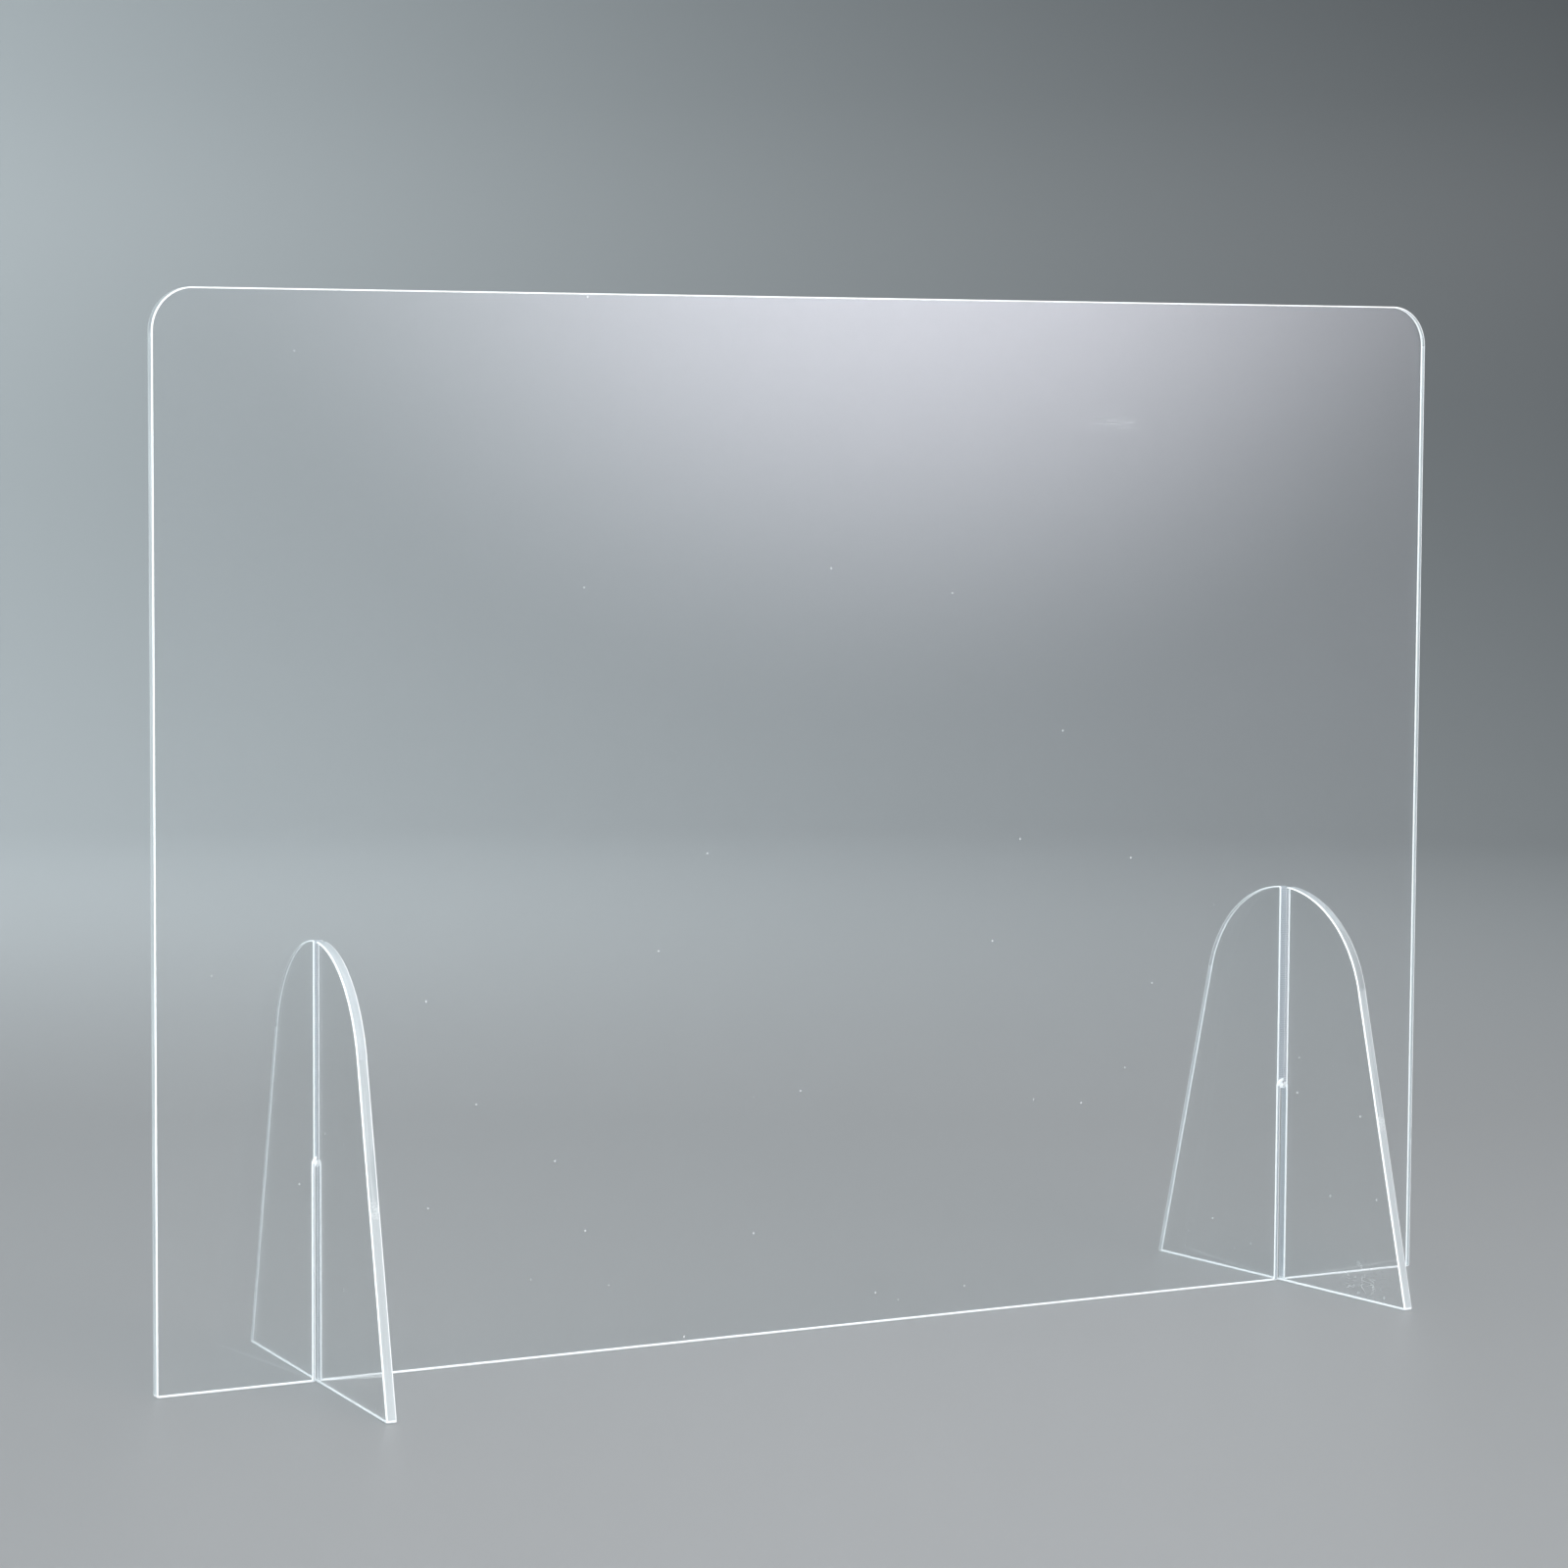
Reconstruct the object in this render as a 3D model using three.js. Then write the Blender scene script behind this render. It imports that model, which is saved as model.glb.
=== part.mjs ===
// Countertop sneeze guard of clear acrylic, in millimetres, +Z up.
// Three flat sheets, cut to shape and slotted: a wide panel and two identical arched feet.
// Each foot crosses the panel in a half lap. The panel is slotted up from its bottom edge and
// the foot down from its top, and both stand on the same surface.
// +X runs along the panel, -Y is the customer's side, and the origin is on the surface under
// the panel's middle.
import * as THREE from 'three';

// Panel
const panelWidth = 700;
const panelHeight = 500;
const panelThickness = 5;
const panelCornerRadius = 20;

// Feet
const footLength = 198;
const footHeight = 204;
const footThickness = 5;
const footArchRadius = 62;
const footInset = 81; // from the panel's end to the middle of the foot
const footTurn = 5; // degrees that each foot's front end stands turned outwards in its slot

// Half lap between a foot and the panel
const lapHeight = 102; // the height at which the two slots meet
const clearance = 0.3; // between one sheet and the slot of the other, on each side

// Finish of the cut edges
const easedEdge = 0.3; // chamfer along every edge of a sheet
const arcSegments = 32;

const turnAngle = THREE.MathUtils.degToRad(footTurn);

// A slot in a sheet of ownThickness, wide enough for a sheet of mateThickness to pass through it
// turned by the foot's angle with the clearance on both sides.
function slotWidth(ownThickness, mateThickness) {
  const straight = mateThickness + ownThickness * Math.sin(turnAngle) + 2 * clearance;
  return straight / Math.cos(turnAngle);
}

// How far past the lap height a slot's round end lies, so that the corners of the other sheet
// stay clear of it.
function slotOverrun(width) {
  const radius = width / 2;
  const reach = radius - clearance;
  return radius - Math.sqrt(radius ** 2 - reach ** 2) + clearance / 2;
}

const panelSlotWidth = slotWidth(panelThickness, footThickness);
const footSlotWidth = slotWidth(footThickness, panelThickness);

// Outline of the panel: a rectangle with round top corners and two slots in its bottom edge.
function panelOutline() {
  const end = panelWidth / 2;
  const footX = end - footInset;
  const radius = panelSlotWidth / 2;
  const slotEndCentre = lapHeight + slotOverrun(panelSlotWidth) - radius;
  const cornerX = end - panelCornerRadius;
  const cornerZ = panelHeight - panelCornerRadius;

  const outline = new THREE.Shape();
  outline.moveTo(-end, 0);
  for (const x of [-footX, footX]) {
    outline.lineTo(x - radius, 0);
    outline.lineTo(x - radius, slotEndCentre);
    outline.absarc(x, slotEndCentre, radius, Math.PI, 0, true);
    outline.lineTo(x + radius, 0);
  }
  outline.lineTo(end, 0);
  outline.lineTo(end, cornerZ);
  outline.absarc(cornerX, cornerZ, panelCornerRadius, 0, Math.PI / 2);
  outline.lineTo(-cornerX, panelHeight);
  outline.absarc(-cornerX, cornerZ, panelCornerRadius, Math.PI / 2, Math.PI);
  outline.closePath();
  return outline;
}

// Outline of a foot: a flat base, two straight sides that lean in, a round arch that they run
// into, and a slot down from the middle of the arch.
function footOutline() {
  const toe = footLength / 2;
  const archCentre = footHeight - footArchRadius;
  const radius = footSlotWidth / 2;
  const slotEndCentre = lapHeight - slotOverrun(footSlotWidth) + radius;

  // where the side that starts at the toe touches the arch, and where the slot opens from it
  const toeDistance = Math.hypot(toe, archCentre);
  const sideMeetsArch = Math.acos(footArchRadius / toeDistance) - Math.atan2(archCentre, toe);
  const slotMeetsArch = Math.acos(radius / footArchRadius);

  const outline = new THREE.Shape();
  outline.moveTo(-toe, 0);
  outline.lineTo(toe, 0);
  outline.absarc(0, archCentre, footArchRadius, sideMeetsArch, slotMeetsArch);
  outline.lineTo(radius, slotEndCentre);
  outline.absarc(0, slotEndCentre, radius, 0, -Math.PI, true);
  outline.absarc(0, archCentre, footArchRadius, Math.PI - slotMeetsArch, Math.PI - sideMeetsArch);
  outline.closePath();
  return outline;
}

// A sheet cut to an outline, centred on its own middle plane, with all its edges eased.
function cutSheet(outline, thickness) {
  const depth = thickness - 2 * easedEdge;
  const sheet = new THREE.ExtrudeGeometry(outline, {
    depth,
    bevelThickness: easedEdge,
    bevelSize: easedEdge,
    bevelOffset: -easedEdge,
    bevelSegments: 1,
    curveSegments: arcSegments,
  });
  sheet.translate(0, 0, -depth / 2);
  sheet.rotateX(Math.PI / 2); // stands up: the outline's height runs along +Z
  return sheet;
}

function clearAcrylic() {
  return new THREE.MeshStandardMaterial({
    color: 0xe4eef0,
    roughness: 0.04,
    metalness: 0,
    transparent: true,
    opacity: 0.3,
  });
}

function makePanel() {
  const panel = new THREE.Mesh(cutSheet(panelOutline(), panelThickness), clearAcrylic());
  panel.name = 'panel';
  return panel;
}

// side is -1 for the left foot and 1 for the right one. A foot is turned a quarter turn from the
// panel's plane, and its front end swings outwards by footTurn.
function makeFoot(name, side) {
  const foot = new THREE.Mesh(cutSheet(footOutline(), footThickness), clearAcrylic());
  foot.name = name;
  foot.position.x = side * (panelWidth / 2 - footInset);
  foot.rotation.z = Math.PI / 2 + side * turnAngle;
  return foot;
}

const group = new THREE.Group();
group.name = 'sneeze_guard';
group.add(makePanel());
group.add(makeFoot('foot_left', -1));
group.add(makeFoot('foot_right', 1));

export default group;
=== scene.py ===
"""A countertop sneeze guard of clear acrylic: a wide panel that stands in two arched feet.

Each of the three sheets is one closed surface. Its outline is lines and arcs, and its rim is a
small profile carried along that outline: a rounded arris, the cut wall, and the other arris.
Sizes are in metres, in the frame's own place and turn.
"""

import bpy
import numpy as np
from mathutils import Matrix, Vector


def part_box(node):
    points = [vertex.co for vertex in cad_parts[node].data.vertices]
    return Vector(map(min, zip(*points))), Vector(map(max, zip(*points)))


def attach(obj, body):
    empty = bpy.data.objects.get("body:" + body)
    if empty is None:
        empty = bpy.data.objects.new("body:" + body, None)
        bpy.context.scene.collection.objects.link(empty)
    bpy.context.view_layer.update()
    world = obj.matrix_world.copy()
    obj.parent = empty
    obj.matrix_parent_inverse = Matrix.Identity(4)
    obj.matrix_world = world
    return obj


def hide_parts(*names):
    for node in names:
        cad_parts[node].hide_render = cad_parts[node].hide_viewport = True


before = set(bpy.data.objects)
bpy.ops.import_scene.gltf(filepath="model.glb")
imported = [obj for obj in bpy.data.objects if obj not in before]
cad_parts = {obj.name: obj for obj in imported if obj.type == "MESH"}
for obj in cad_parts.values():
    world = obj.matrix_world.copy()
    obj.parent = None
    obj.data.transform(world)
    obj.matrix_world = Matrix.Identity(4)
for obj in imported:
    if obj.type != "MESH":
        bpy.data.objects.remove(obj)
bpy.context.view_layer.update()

# ---------------------------------------------------------------- sizes

panel_low, panel_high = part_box("panel")
PANEL_WIDTH = panel_high.x - panel_low.x
PANEL_HEIGHT = panel_high.z
SHEET = panel_high.y - panel_low.y  # all three pieces are cut from one thickness
PANEL_CORNER = 0.020

FOOT_LENGTH = 0.198
FOOT_HEIGHT = 0.204
FOOT_ARCH = 0.062
FOOT_TURN = np.radians(5)  # each foot's front end stands turned outwards

SLOT_WIDTH = 0.00606
LAP_HEIGHT = 0.102
SLOT_OVERRUN = 0.00187  # each slot ends this far past the lap height

ARRIS = 0.00065  # radius of the rounded edge between a face and a cut wall
CORNER_EASE = 0.0015  # how far from a sharp corner its curve begins, so that the arris fits inside
SHARP_COSINE = -0.9  # a corner is sharp if the cosine of the angle between its sides is above this
HOLD = 0.0002  # keeps a flat stretch flat beside a rounded one

ACRYLIC_IOR = 1.49
TICKS_PER_METRE = 900  # the cutter's marks along a slot
WAVE_BAND = 0.314  # a wave pattern's bands are this far apart, divided by its scale
SCUFF_HEIGHT = 0.092  # a hand scuff on each foot's front edge
SCUFF_REACH = 0.005
BUMP_DEPTH = 0.0001
MARK_STRENGTH = 0.7  # how much of the frosted white shows where a mark is fullest
SCRATCH_BAND = 0.03  # half a scratch's width, as a share of its pattern's range
RUBBED_PLACE, RUBBED_REACH = (0.162, 0, 0.4405), (0.024, 0.01, 0.006)
SCORED_PLACE, SCORED_REACH = (0.2746, -0.0637, 0.009), (0.02, 0.024, 0.014)
DUST_CELLS = 75  # per metre; only some of them hold a speck
DUST_SPECK = 0.0006
DUST_AT_BASE = 0.3  # the share of cells that hold a speck at the base
DUST_HIGHER_UP = 0.04
BACK_SHIFT = (5.0, 0.0)  # moves the far face's marks along, so that no mark shows twice
FLOOR_GAP = 0.0003  # the floor lies this far under the sheets' bases

# the finishes of a sheet, by material slot
FACE, WHITENED, SAWN, POLISHED, SLOTTED = range(5)


# ---------------------------------------------------------------- outlines

def line(start, end):
    """Points from start towards end, closer together at both ends, without the end itself."""
    share = (1 - np.cos(np.linspace(0, np.pi, 9)[:-1])) / 2
    start, end = np.array(start), np.array(end)
    return start + share[:, None] * (end - start)


def arc(centre, radius, first, last, steps=48):
    """Points on a circle from angle first towards last, without the last one."""
    angle = np.linspace(first, last, steps + 1)[:-1]
    return np.array(centre) + radius * np.stack([np.cos(angle), np.sin(angle)], -1)


def joined(pieces):
    """One closed outline from (points, finish) pieces, as points and the finish after each."""
    points = np.concatenate([p for p, _ in pieces])
    finish = np.concatenate([np.full(len(p), f) for p, f in pieces])
    return points, finish


def eased(points, finish, radius=CORNER_EASE, steps=7):
    """Every sharp corner becomes a small curve: the mean of the corner, twice, and of the two
    points that lie a radius from it, weighted as a quadratic curve's three points are."""
    before = np.roll(points, 1, 0) - points
    after = np.roll(points, -1, 0) - points
    before /= np.linalg.norm(before, axis=1, keepdims=True)
    after /= np.linalg.norm(after, axis=1, keepdims=True)
    sharp = (before * after).sum(1) > SHARP_COSINE
    share = np.linspace(0, 1, steps)[:, None, None]
    curve = ((1 - share) ** 2 * (points + radius * before) + 2 * share * (1 - share) * points
             + share ** 2 * (points + radius * after))
    rows = [curve[:, i] if sharp[i] else points[i:i + 1] for i in range(len(points))]
    kinds = [np.full(len(r), finish[i]) for i, r in enumerate(rows)]
    return np.concatenate(rows), np.concatenate(kinds)


def panel_outline():
    """A rectangle with round top corners and two round-ended slots in its bottom edge."""
    end = PANEL_WIDTH / 2
    corner = PANEL_CORNER
    half = SLOT_WIDTH / 2
    slot_end = LAP_HEIGHT + SLOT_OVERRUN - half
    quarter = np.pi / 2
    pieces = []
    reached = -end
    for centre in FOOT_CENTRES:
        pieces += [
            (line((reached, 0), (centre - half, 0)), WHITENED),
            (line((centre - half, 0), (centre - half, slot_end)), SLOTTED),
            (arc((centre, slot_end), half, 2 * quarter, 0, 24), WHITENED),
            (line((centre + half, slot_end), (centre + half, 0)), SLOTTED),
        ]
        reached = centre + half
    top = PANEL_HEIGHT
    pieces += [
        (line((reached, 0), (end, 0)), WHITENED),
        (line((end, 0), (end, top - corner)), SAWN),
        (arc((end - corner, top - corner), corner, 0, quarter), POLISHED),
        (line((end - corner, top), (corner - end, top)), SAWN),
        (arc((corner - end, top - corner), corner, quarter, 2 * quarter), POLISHED),
        (line((-end, top - corner), (-end, 0)), SAWN),
    ]
    return eased(*joined(pieces))


def foot_outline():
    """A flat base, two sides that lean in and touch a round arch, and a slot down from its top.

    A side touches the arch where the radius is square to it: the angle there is that of the
    line to the toe plus the angle whose cosine is the arch's radius over that line's length."""
    toe = FOOT_LENGTH / 2
    half = SLOT_WIDTH / 2
    arch = FOOT_HEIGHT - FOOT_ARCH
    slot_end = LAP_HEIGHT - SLOT_OVERRUN + half
    touch = np.arccos(FOOT_ARCH / np.hypot(toe, arch)) - np.arctan2(arch, toe)
    mouth = np.arccos(half / FOOT_ARCH)
    mouth_height = arch + FOOT_ARCH * np.sin(mouth)
    side = FOOT_ARCH * np.cos(touch), arch + FOOT_ARCH * np.sin(touch)
    pieces = [
        (line((-toe, 0), (toe, 0)), WHITENED),
        (line((toe, 0), side), SAWN),
        (arc((0, arch), FOOT_ARCH, touch, mouth), POLISHED),
        (line((half, mouth_height), (half, slot_end)), SLOTTED),
        (arc((0, slot_end), half, 0, -np.pi, 24), WHITENED),
        (line((-half, slot_end), (-half, mouth_height)), SLOTTED),
        (arc((0, arch), FOOT_ARCH, np.pi - mouth, np.pi - touch), POLISHED),
        (line((-side[0], side[1]), (-toe, 0)), SAWN),
    ]
    return eased(*joined(pieces))


# ---------------------------------------------------------------- a sheet's surface

def rim_profile(thickness):
    """Inset and depth across a sheet's rim, from one face to the other. An arris is a quarter
    circle: inset is its radius times one less the sine, and depth times one less the cosine."""
    turn = np.linspace(0, np.pi / 2, 4)
    inset = np.append(ARRIS * (1 - np.sin(turn)), 0)
    depth = np.append(ARRIS * (1 - np.cos(turn)), ARRIS + HOLD) - thickness / 2
    return np.concatenate([inset, inset[::-1]]), np.concatenate([depth, -depth[::-1]])


def outline_normals(points):
    """Outward offset of each point for one unit of inset: the mean of the two segments'
    outward normals, lengthened so that both segments move by one."""
    along = np.roll(points, -1, 0) - points
    along /= np.linalg.norm(along, axis=1, keepdims=True)
    outward = np.stack([along[:, 1], -along[:, 0]], -1)
    mean = outward + np.roll(outward, 1, 0)
    return mean * 2 / (mean ** 2).sum(1, keepdims=True)


def sheet(name, outline, centre, turn, materials):
    """One sheet as a closed surface. Its rim is a grid: point i of the outline, moved in by
    inset j and through by depth j. Two flat polygons close it. Local axes are along the sheet,
    up, and through it, which is along crossed with up."""
    points, finish = outline
    inset, depth = rim_profile(SHEET)
    rows, columns = len(points), len(inset)
    flat = points[:, None] - outline_normals(points)[:, None] * inset[:, None]
    along = np.array([np.cos(turn), np.sin(turn), 0])
    through = np.array([np.sin(turn), -np.cos(turn), 0])
    vertices = (np.array([centre, 0, 0]) + flat[..., :1] * along
                + flat[..., 1:] * np.array([0, 0, 1]) + depth[None, :, None] * through)

    grid = np.arange(rows * columns).reshape(rows, columns)
    onward = np.roll(grid, -1, 0)
    quads = np.stack([grid[:, :-1], onward[:, :-1], onward[:, 1:], grid[:, 1:]], -1)
    faces = quads.reshape(-1, 4).tolist() + [grid[:, -1].tolist(), grid[::-1, 0].tolist()]

    arris_columns = np.abs(np.arange(columns - 1) - (columns - 2) / 2) > 1.5
    slots = np.where(arris_columns[None], WHITENED, finish[:, None])
    slots = np.append(slots.reshape(-1), [FACE, FACE])

    mesh = bpy.data.meshes.new(name)
    mesh.from_pydata(vertices.reshape(-1, 3).tolist(), [], faces)
    for material in materials:
        mesh.materials.append(material)
    mesh.polygons.foreach_set("material_index", slots.astype(np.int32))
    mesh.set_sharp_from_angle(angle=np.radians(35))
    mesh.polygons.foreach_set("use_smooth", slots != FACE)

    # u runs along the outline and v across the rim, both in metres; a face keeps its own plane
    step = np.linalg.norm(np.roll(points, -1, 0) - points, axis=1)
    reached = np.concatenate([[0], np.cumsum(step)])
    u = np.stack([reached[:-1], reached[1:], reached[1:], reached[:-1]], -1)
    v = np.stack([depth[:-1], depth[:-1], depth[1:], depth[1:]], -1)
    rim = np.stack(np.broadcast_arrays(u[:, None], v[None]), -1).reshape(-1, 2)
    uv = np.concatenate([rim, flat[:, -1], flat[::-1, 0] + BACK_SHIFT])
    mesh.uv_layers.new(name="rim").data.foreach_set("uv", uv.reshape(-1))
    mesh.validate()
    piece = bpy.data.objects.new(name, mesh)
    bpy.context.scene.collection.objects.link(piece)
    return piece


# ---------------------------------------------------------------- materials

class Nodes:
    """A material's node tree, with one call for a node and its inputs."""

    def __init__(self, name):
        self.material = bpy.data.materials.new(name)
        self.material.use_nodes = True
        self.tree = self.material.node_tree
        self.tree.nodes.clear()

    def add(self, kind, inputs=None, **settings):
        """A node of that kind. An input that is a socket is linked, and any other is set."""
        node = self.tree.nodes.new(kind)
        for key, value in settings.items():
            setattr(node, key, value)
        for key, value in (inputs or {}).items():
            if isinstance(value, bpy.types.NodeSocket):
                self.tree.links.new(value, node.inputs[key])
            else:
                node.inputs[key].default_value = value
        return node

    def noise(self, vector, scale, detail=3.0):
        node = self.add("ShaderNodeTexNoise", {"Vector": vector, "Scale": scale,
                                               "Detail": detail, "Roughness": 0.6})
        return node.outputs["Fac"]

    def map(self, value, low, high, to_low, to_high):
        node = self.add("ShaderNodeMapRange", {"Value": value, "From Min": low, "From Max": high,
                                               "To Min": to_low, "To Max": to_high})
        return node.outputs["Result"]

    def maths(self, operation, a, b=0.0):
        node = self.add("ShaderNodeMath", {0: a, 1: b}, operation=operation)
        return node.outputs[0]

    def times(self, a, b):
        return self.maths("MULTIPLY", a, b)

    def plus(self, a, b):
        return self.maths("ADD", a, b)

    def less(self, a, b):
        return self.maths("SUBTRACT", a, b)

    def vector_maths(self, operation, a, b=(0, 0, 0)):
        node = self.add("ShaderNodeVectorMath", {0: a, 1: b}, operation=operation)
        return node.outputs["Value" if operation == "LENGTH" else "Vector"]

    def blend(self, share, first, second):
        """The first colour where share is 0 and the second where it is 1."""
        node = self.add("ShaderNodeMix", {0: share, 6: first, 7: second}, data_type="RGBA")
        return node.outputs[2]

    def mixed(self, share, first, second):
        return self.add("ShaderNodeMixShader", {0: share, 1: first, 2: second}).outputs[0]

    def place(self):
        """The piece's own place, as separate X, Y and Z."""
        return self.add("ShaderNodeSeparateXYZ", {0: self.object_place()}).outputs

    def stretched(self, source, scale):
        node = self.add("ShaderNodeMapping", {"Vector": source, "Scale": scale})
        return node.outputs["Vector"]

    def object_place(self):
        return self.add("ShaderNodeTexCoord").outputs["Object"]

    def rim_place(self):
        return self.add("ShaderNodeUVMap", uv_map="rim").outputs["UV"]

    def bump(self, height):
        node = self.add("ShaderNodeBump", {"Height": height, "Strength": 0.3,
                                           "Distance": BUMP_DEPTH})
        return node.outputs["Normal"]

    def finish(self, shader, passed):
        """Ends the tree. Lamps and the light that rough surfaces gather pass straight through
        the sheet, weakened to the colour passed, so that its shadow is as faint as a real one."""
        path = self.add("ShaderNodeLightPath")
        clear = self.add("ShaderNodeBsdfTransparent", {"Color": (*passed, 1)}).outputs[0]
        inner = self.mixed(path.outputs["Is Diffuse Ray"], shader, clear)
        outer = self.mixed(path.outputs["Is Shadow Ray"], inner, clear)
        self.add("ShaderNodeOutputMaterial", {"Surface": outer})
        return self.material


def within(n, centre, reach):
    """1 in the middle of an ellipsoid and 0 outside it, in the piece's own place."""
    away = n.vector_maths("SUBTRACT", n.object_place(), centre)
    length = n.vector_maths("LENGTH", n.vector_maths("DIVIDE", away, reach))
    return n.map(length, 1.0, 0.2, 0.0, 1.0)


def scratches(n, lean, scale):
    """Fine strokes: the narrow band where a stretched noise crosses its middle value."""
    turned = n.add("ShaderNodeMapping", {"Vector": n.rim_place(), "Rotation": (0, 0, lean),
                                         "Scale": scale}).outputs["Vector"]
    crossing = n.maths("ABSOLUTE", n.less(n.noise(turned, 1.0, 0.0), 0.5))
    return n.map(crossing, 0.0, SCRATCH_BAND, 1.0, 0.0)


def dust(n):
    """Specks: the middle of some cells of a cell pattern, more of them near the base."""
    cell = n.add("ShaderNodeTexVoronoi", {"Vector": n.rim_place(), "Scale": DUST_CELLS}).outputs
    edge = DUST_SPECK * DUST_CELLS
    speck = n.map(cell["Distance"], edge, 0.6 * edge, 0.0, 1.0)
    chance = n.add("ShaderNodeSeparateColor", {0: cell["Color"]}).outputs[0]
    bar = n.map(n.place()["Z"], 0.0, 0.3, 1 - DUST_AT_BASE, 1 - DUST_HIGHER_UP)
    return n.times(speck, n.maths("GREATER_THAN", chance, bar))


def clear_face():
    """A cast sheet's own polished face: clear and very slightly cool, with a sharp shine and a
    softer one over it, in which a lamp shows as a wide glow. A little dust, a rubbed place on
    the panel and a few scratches at the right foot's toe lie on it as frosted white."""
    n = Nodes("clear_face")
    rubbed = n.times(scratches(n, 0.0, (30, 700, 1)), within(n, RUBBED_PLACE, RUBBED_REACH))
    rubbed = n.times(rubbed, 0.5)
    scored = n.times(scratches(n, 0.9, (120, 700, 1)), within(n, SCORED_PLACE, SCORED_REACH))
    sparse = n.map(n.noise(n.rim_place(), 260.0, 0.0), 0.5, 0.58, 0.0, 1.0)
    scored = n.times(scored, sparse)
    marks = n.plus(n.plus(rubbed, scored), dust(n))
    smudge = n.map(n.noise(n.object_place(), 9.0), 0.45, 0.75, 0.01, 0.04)
    glass = n.add("ShaderNodeBsdfPrincipled", {
        "Base Color": (0.978, 0.99, 0.992, 1), "Transmission Weight": 1.0, "Roughness": smudge,
        "IOR": ACRYLIC_IOR, "Coat Weight": 0.8, "Coat Roughness": 0.3, "Coat IOR": 1.5}).outputs[0]
    frost = n.add("ShaderNodeBsdfDiffuse", {"Color": (0.9, 0.92, 0.93, 1)}).outputs[0]
    return n.finish(n.mixed(n.times(marks, MARK_STRENGTH), glass, frost), (0.94, 0.955, 0.96))


def whitened_rim():
    """A scraped arris, a worn base or a slot's end: frosted white, so that it catches the light."""
    n = Nodes("whitened_rim")
    grain = n.noise(n.object_place(), 700.0)
    shader = n.add("ShaderNodeBsdfPrincipled", {
        "Base Color": n.blend(grain, (0.88, 0.92, 0.94, 1), (0.99, 0.995, 1.0, 1)),
        "Roughness": 0.4, "IOR": ACRYLIC_IOR, "Normal": n.bump(grain)}).outputs[0]
    return n.finish(shader, (0.9, 0.92, 0.93))


def cut_wall(n, marks, dull, bright, clearness, glow, roughness):
    """A wall cut through the sheet. Part of it reflects, with the marks in its colour, part
    lets light through, and the share called glow spreads the light that reaches its back."""
    surface = n.add("ShaderNodeBsdfPrincipled", {
        "Base Color": n.blend(marks, (*dull, 1), (*bright, 1)), "Transmission Weight": clearness,
        "Roughness": roughness, "IOR": ACRYLIC_IOR, "Normal": n.bump(marks)}).outputs[0]
    spread = n.add("ShaderNodeBsdfTranslucent", {"Color": (*bright, 1)}).outputs[0]
    return n.finish(n.mixed(glow, surface, spread), (0.82, 0.85, 0.86))


def sawn_wall():
    """A straight cut: satin and cool grey, with saw marks along it. On the feet's fronts the
    marks are strong above the height of one hand scuff and nearly gone below it."""
    n = Nodes("sawn_wall")
    marks = n.noise(n.stretched(n.rim_place(), (20, 1100, 1)), 1.0, 2.0)
    place = n.place()
    front = n.maths("LESS_THAN", place["Y"], -0.01)
    low = n.map(place["Z"], SCUFF_HEIGHT + 0.002, SCUFF_HEIGHT - 0.002, 0.0, 1.0)
    calm = n.times(n.times(front, low), 0.8)
    marks = n.less(marks, n.times(n.less(marks, 0.55), calm))
    away = n.maths("ABSOLUTE", n.less(place["Z"], SCUFF_HEIGHT))
    near = n.map(away, SCUFF_REACH, 0.4 * SCUFF_REACH, 0.0, 1.0)
    speckle = n.map(n.noise(n.object_place(), 900.0), 0.45, 0.6, 0.0, 1.0)
    scuff = n.times(n.times(front, near), speckle)
    marks = n.map(n.plus(marks, n.times(scuff, 0.5)), 0.3, 0.75, 0.0, 1.0)
    return cut_wall(n, marks, (0.50, 0.55, 0.57), (0.90, 0.94, 0.95), 0.12, 0.35, 0.35)


def polished_wall():
    """A routed and polished curve: nearly as clear as the faces."""
    n = Nodes("polished_wall")
    marks = n.noise(n.stretched(n.rim_place(), (30, 900, 1)), 1.0, 2.0)
    return cut_wall(n, marks, (0.62, 0.68, 0.70), (0.84, 0.89, 0.91), 0.55, 0.15, 0.45)


def slotted_wall():
    """A slot's wall: satin, with the cutter's even ticks across it."""
    n = Nodes("slotted_wall")
    ticks = n.add("ShaderNodeTexWave", {
        "Vector": n.rim_place(), "Scale": WAVE_BAND * TICKS_PER_METRE, "Distortion": 1.5,
        "Detail": 1.0, "Detail Scale": 40.0}, bands_direction="X").outputs["Fac"]
    grain = n.noise(n.stretched(n.rim_place(), (60, 900, 1)), 1.0, 2.0)
    marks = n.plus(n.times(ticks, 0.6), n.times(grain, 0.4))
    return cut_wall(n, marks, (0.40, 0.46, 0.50), (0.88, 0.90, 0.96), 0.25, 0.35, 0.35)


# ---------------------------------------------------------------- the three sheets

FOOT_CENTRES = [sum(corner.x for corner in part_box(foot)) / 2
                for foot in ("foot_left", "foot_right")]
acrylic = [clear_face(), whitened_rim(), sawn_wall(), polished_wall(), slotted_wall()]

pieces = {
    "panel": sheet("panel_sheet", panel_outline(), 0, 0, acrylic),
    "foot_left": sheet("left_foot_sheet", foot_outline(), FOOT_CENTRES[0],
                       np.pi / 2 - FOOT_TURN, acrylic),
    "foot_right": sheet("right_foot_sheet", foot_outline(), FOOT_CENTRES[1],
                        np.pi / 2 + FOOT_TURN, acrylic),
}
for node, piece in pieces.items():
    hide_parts(node)
    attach(piece, node)


# ---------------------------------------------------------------- stage

FLAT, COVE, WALL_TOP = 2.6, 1.0, 4.2  # the flat floor's radius, the sweep's, and the wall's height

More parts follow.
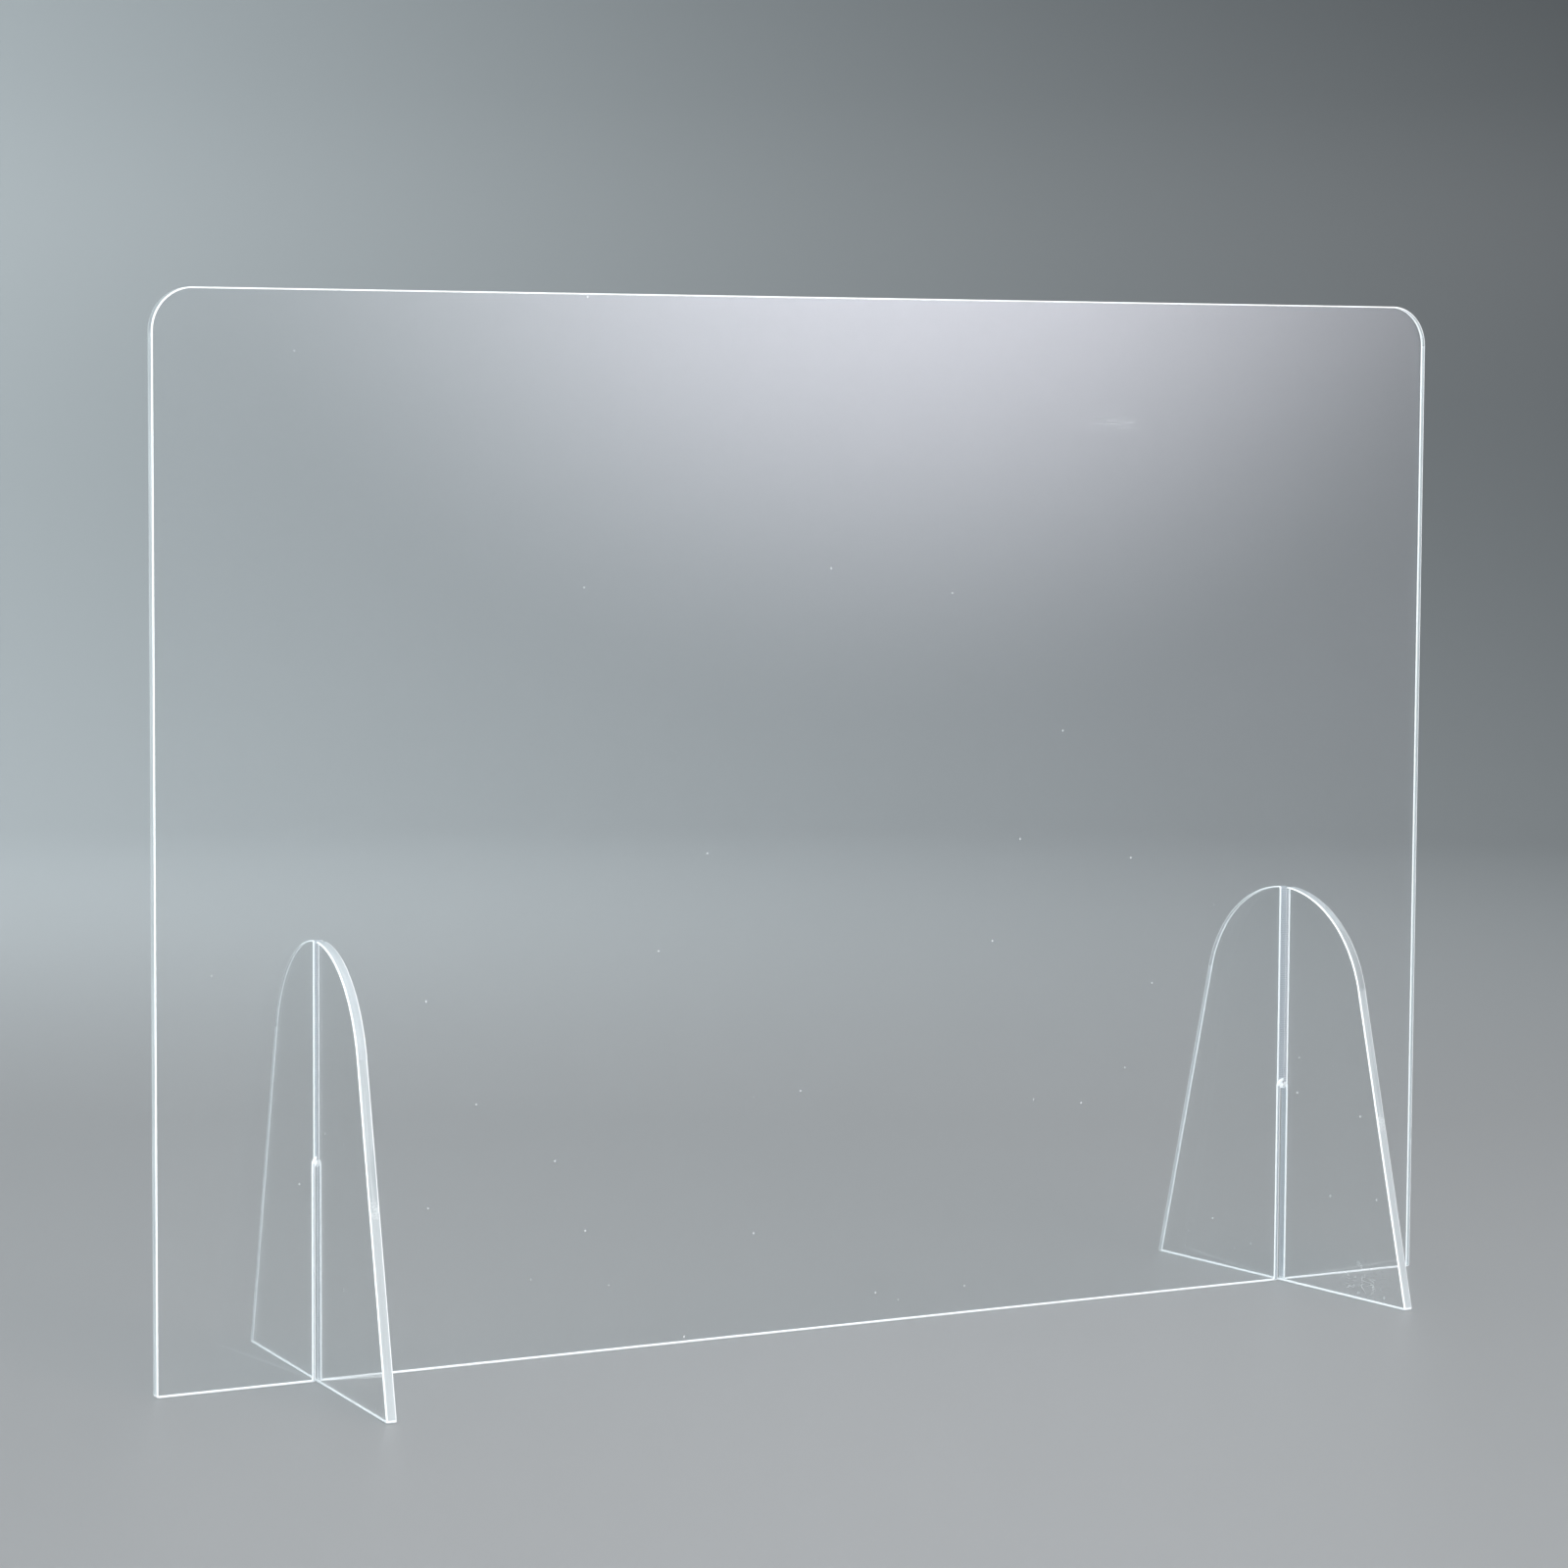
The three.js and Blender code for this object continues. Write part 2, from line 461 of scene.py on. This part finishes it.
CAMERA_PLACE = (-1.1307, -1.9710, 0.4561)
CAMERA_TURN = (29.27, 4.787, 0.3356)  # degrees from +Y towards +X, down, and about its own axis
CAMERA_LENS = 108.3  # millimetres, as the next one
CAMERA_SENSOR = 36


def pale_floor():
    """Pale in the middle and grey up the wall, with painted shade that makes the wall darker on its
    +X side.
    """
    n = Nodes("pale_floor")
    place = n.place()
    level = n.add("ShaderNodeCombineXYZ", {0: place["X"], 1: place["Y"]}).outputs[0]
    outward = n.plus(n.vector_maths("LENGTH", level), place["Z"])
    share = n.map(outward, 0.8, FLAT + COVE + 0.8, 0.0, 1.0)
    # painted shade: the wall's grey darkens towards its +X side, as if light fell on it from the -X
    # side
    right = n.map(place["X"], 0.4, FLAT, 0.0, 1.0)
    wall = n.blend(right, (0.31, 0.33, 0.34, 1), (0.08, 0.085, 0.09, 1))
    colour = n.blend(share, (0.54, 0.555, 0.565, 1), wall)
    shader = n.add("ShaderNodeBsdfPrincipled", {"Base Color": colour, "Roughness": 0.45}).outputs[0]
    n.add("ShaderNodeOutputMaterial", {"Surface": shader})
    return n.material


def studio_floor():
    """A pale floor that sweeps up into a round grey wall: a profile turned about the vertical
    axis. Its height is the sweep's radius times one less the cosine of the turn."""
    turn = np.linspace(0, np.pi / 2, 24)
    radius = np.concatenate([np.linspace(0.3, FLAT, 6), FLAT + COVE * np.sin(turn[1:]),
                             [FLAT + COVE]])
    height = np.concatenate([np.zeros(6), COVE * (1 - np.cos(turn[1:])), [WALL_TOP]])
    angle = np.linspace(0, 2 * np.pi, 97)[:-1]
    place = np.stack([radius[:, None] * np.cos(angle), radius[:, None] * np.sin(angle),
                      np.broadcast_to(height[:, None], (len(height), len(angle)))], -1)
    place[..., 2] -= FLOOR_GAP
    grid = np.arange(place[..., 0].size).reshape(len(height), len(angle))
    onward = np.roll(grid, -1, 1)
    quads = np.stack([grid[:-1], grid[1:], onward[1:], onward[:-1]], -1).reshape(-1, 4)
    mesh = bpy.data.meshes.new("studio_floor")
    mesh.from_pydata(place.reshape(-1, 3).tolist(), [], quads.tolist() + [grid[0].tolist()])
    mesh.polygons.foreach_set("use_smooth", np.ones(len(mesh.polygons), bool))
    mesh.materials.append(pale_floor())
    floor = bpy.data.objects.new("studio_floor", mesh)
    bpy.context.scene.collection.objects.link(floor)


def turned_to(look):
    """The turn that points an object's own -Z axis along look, with its own Y axis upwards."""
    return Vector(look).to_track_quat("-Z", "Y").to_matrix()


def softbox(name, place, target, size, power, colour=(1, 1, 1), fade=0.5):
    """A soft lamp that is brightest in its middle and fades out towards its rim."""
    data = bpy.data.lights.new(name, "AREA")
    data.shape = "RECTANGLE"
    data.size, data.size_y = size
    data.energy = power
    data.color = colour
    data.use_nodes = True
    tree = data.node_tree
    across = tree.nodes.new("ShaderNodeNewGeometry").outputs["Parametric"]
    middle = tree.nodes.new("ShaderNodeVectorMath")
    middle.operation = "DISTANCE"
    middle.inputs[1].default_value = (0.5, 0.5, 0)
    faded = tree.nodes.new("ShaderNodeMapRange")
    faded.interpolation_type = "SMOOTHSTEP"
    for key, value in {"From Min": 0.5, "From Max": 0.5 * (1 - fade), "To Max": 1.0}.items():
        faded.inputs[key].default_value = value
    tree.links.new(across, middle.inputs[0])
    tree.links.new(middle.outputs["Value"], faded.inputs["Value"])
    tree.links.new(faded.outputs["Result"], tree.nodes["Emission"].inputs["Strength"])
    lamp = bpy.data.objects.new(name, data)
    bpy.context.scene.collection.objects.link(lamp)
    lamp.location = place
    lamp.rotation_euler = turned_to(Vector(target) - Vector(place)).to_euler()
    lamp.visible_camera = False
    lamp.visible_transmission = False
    return lamp


def studio_light():
    """Soft lamps. The close ones light the guard alone, which keeps the floor even. The low one
    has no mirror image, and the sheen lamp also shines in a sheet's far face."""
    cool = (0.88, 0.97, 1)
    violet = (0.92, 0.9, 1)
    world = bpy.data.worlds.new("studio_air")
    world.use_nodes = True
    air = world.node_tree.nodes["Background"].inputs
    air["Color"].default_value = (0.85, 0.92, 1.0, 1)
    air["Strength"].default_value = 0.25
    bpy.context.scene.world = world
    middle = (0, 0, 0.2)
    softbox("overhead_softbox", (0, 0, 3.6), (0, 0, 0), (3.0, 3.0), 110)
    softbox("front_softbox", (0.4, -2.5, 1.9), middle, (1.6, 1.2), 80)
    softbox("wall_softbox", (-0.1, 1.9, 2.0), (0.7, 3.5, 1.1), (1.1, 1.1), 105, cool)
    close = [
        softbox("left_softbox", (-2.4, 0.0, 1.1), middle, (1.4, 1.4), 110, cool),
        softbox("right_softbox", (2.4, -0.3, 1.3), middle, (1.0, 1.0), 12),
        softbox("low_softbox", (-0.8, -2.2, 0.45), (0, 0, 0.05), (1.6, 0.5), 60),
        softbox("sheen_softbox", (1.42, -2.37, 0.75), (0.15, 0, 0.42), (1.6, 1.35), 46, violet, 1.0),
    ]
    guard = bpy.data.collections.new("guard")
    for piece in pieces.values():
        guard.objects.link(piece)
    for lamp in close:
        lamp.light_linking.receiver_collection = guard
    low, sheen = close[2:]
    low.visible_glossy = False
    sheen.visible_transmission = True


def view_camera():
    """The camera stands to the left of the guard's middle and looks slightly down."""
    bearing, dip, lean = np.radians(CAMERA_TURN)
    data = bpy.data.cameras.new("view")
    data.sensor_width = CAMERA_SENSOR
    data.lens = CAMERA_LENS
    data.clip_start, data.clip_end = 0.01, 50
    camera = bpy.data.objects.new("view", data)
    bpy.context.scene.collection.objects.link(camera)
    camera.location = CAMERA_PLACE
    look = (np.sin(bearing) * np.cos(dip), np.cos(bearing) * np.cos(dip), -np.sin(dip))
    camera.rotation_euler = (turned_to(look) @ Matrix.Rotation(lean, 3, "Z")).to_euler()
    bpy.context.scene.camera = camera


studio_floor()
studio_light()
view_camera()
bpy.context.scene.view_settings.view_transform = "Standard"
